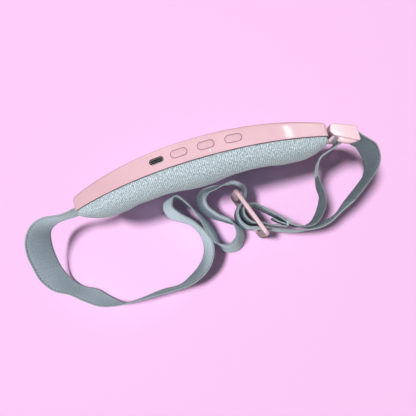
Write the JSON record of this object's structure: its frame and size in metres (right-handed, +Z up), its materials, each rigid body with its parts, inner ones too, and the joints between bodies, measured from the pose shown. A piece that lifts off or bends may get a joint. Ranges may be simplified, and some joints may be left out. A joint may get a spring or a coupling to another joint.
{
  "type": "eye massager mask",
  "caption": "Curved eye massager mask with a knit face pad, push buttons, a charging port, a hinged strap ring, and an elastic head strap with a slider.",
  "frame": {"origin": "on the standing plane, under the centre of the whole object's box", "axes": "+X along the mask, +Y the way the wearer looks, +Z up as it stands on its lower edge"},
  "size_m": [0.271, 0.1022, 0.0852],
  "materials": {
    "pink_plastic": "satin",
    "cover_plastic": "matte",
    "dark_plastic": "matte",
    "clear_plastic": "gloss",
    "grey_knit": "ribbed knit",
    "grey_elastic": "woven elastic",
    "steel": "brushed",
    "tungsten": "sintered",
    "circuit_board": "solder mask",
    "cell_foil": "foil",
    "heater_film": "film"
  },
  "bodies": {
    "mask": {"front_shell": "pink_plastic", "back_cover": "cover_plastic", "pad_frame": "dark_plastic", "face_pad": "grey_knit", "port_shell": "steel", "port_tongue": "dark_plastic", "push_switches": "dark_plastic", "main_board": "circuit_board", "board_chips": "dark_plastic", "battery": "cell_foil", "light_pipe": "clear_plastic", "heater_left": "heater_film", "heater_right": "heater_film", "motor_left": "steel", "motor_right": "steel", "case_screws": "steel", "strap_clamp": "dark_plastic", "clamp_screws": "steel", "strap": "grey_elastic"},
    "power_button": {"power_button": "pink_plastic"},
    "mode_button": {"mode_button": "pink_plastic"},
    "heat_button": {"heat_button": "pink_plastic"},
    "weight_left": {"motor_shaft_left": "steel", "motor_weight_left": "tungsten"},
    "weight_right": {"motor_shaft_right": "steel", "motor_weight_right": "tungsten"},
    "ring": {"strap_ring": "pink_plastic", "hinge_pin": "steel"},
    "slider": {"slider": "pink_plastic"}
  },
  "joints": [
    {"name": "power_button_press", "type": "slide", "parent": "mask", "child": "power_button", "axis": [0, 0, -1], "range_m": [0, 0.0005], "stiffness_N_per_m": 300},
    {"name": "mode_button_press", "type": "slide", "parent": "mask", "child": "mode_button", "axis": [0, 0, -1], "range_m": [0, 0.0005], "stiffness_N_per_m": 300},
    {"name": "heat_button_press", "type": "slide", "parent": "mask", "child": "heat_button", "axis": [0, 0, -1], "range_m": [0, 0.0005], "stiffness_N_per_m": 300},
    {"name": "ring_hinge", "type": "hinge", "parent": "mask", "child": "ring", "pos_m": [0.1076, 0.033, 0.051], "axis": [0, 0, 1], "range_deg": [-35, 20], "deforming": ["strap"]},
    {"name": "slider_slide", "type": "slide", "parent": "mask", "child": "slider", "axis": [0.95, -0.3122, 0], "range_m": [-0.001, 0.012], "deforming": ["strap"]},
    {"name": "weight_left_spin", "type": "hinge", "parent": "mask", "child": "weight_left", "pos_m": [-0.0457, 0.03962, 0.044], "axis": [-0.9897, -0.1432, 0], "continuous": true},
    {"name": "weight_right_spin", "type": "hinge", "parent": "mask", "child": "weight_right", "pos_m": [0.0703, 0.03962, 0.044], "axis": [0.9897, -0.1432, 0], "continuous": true}
  ]
}
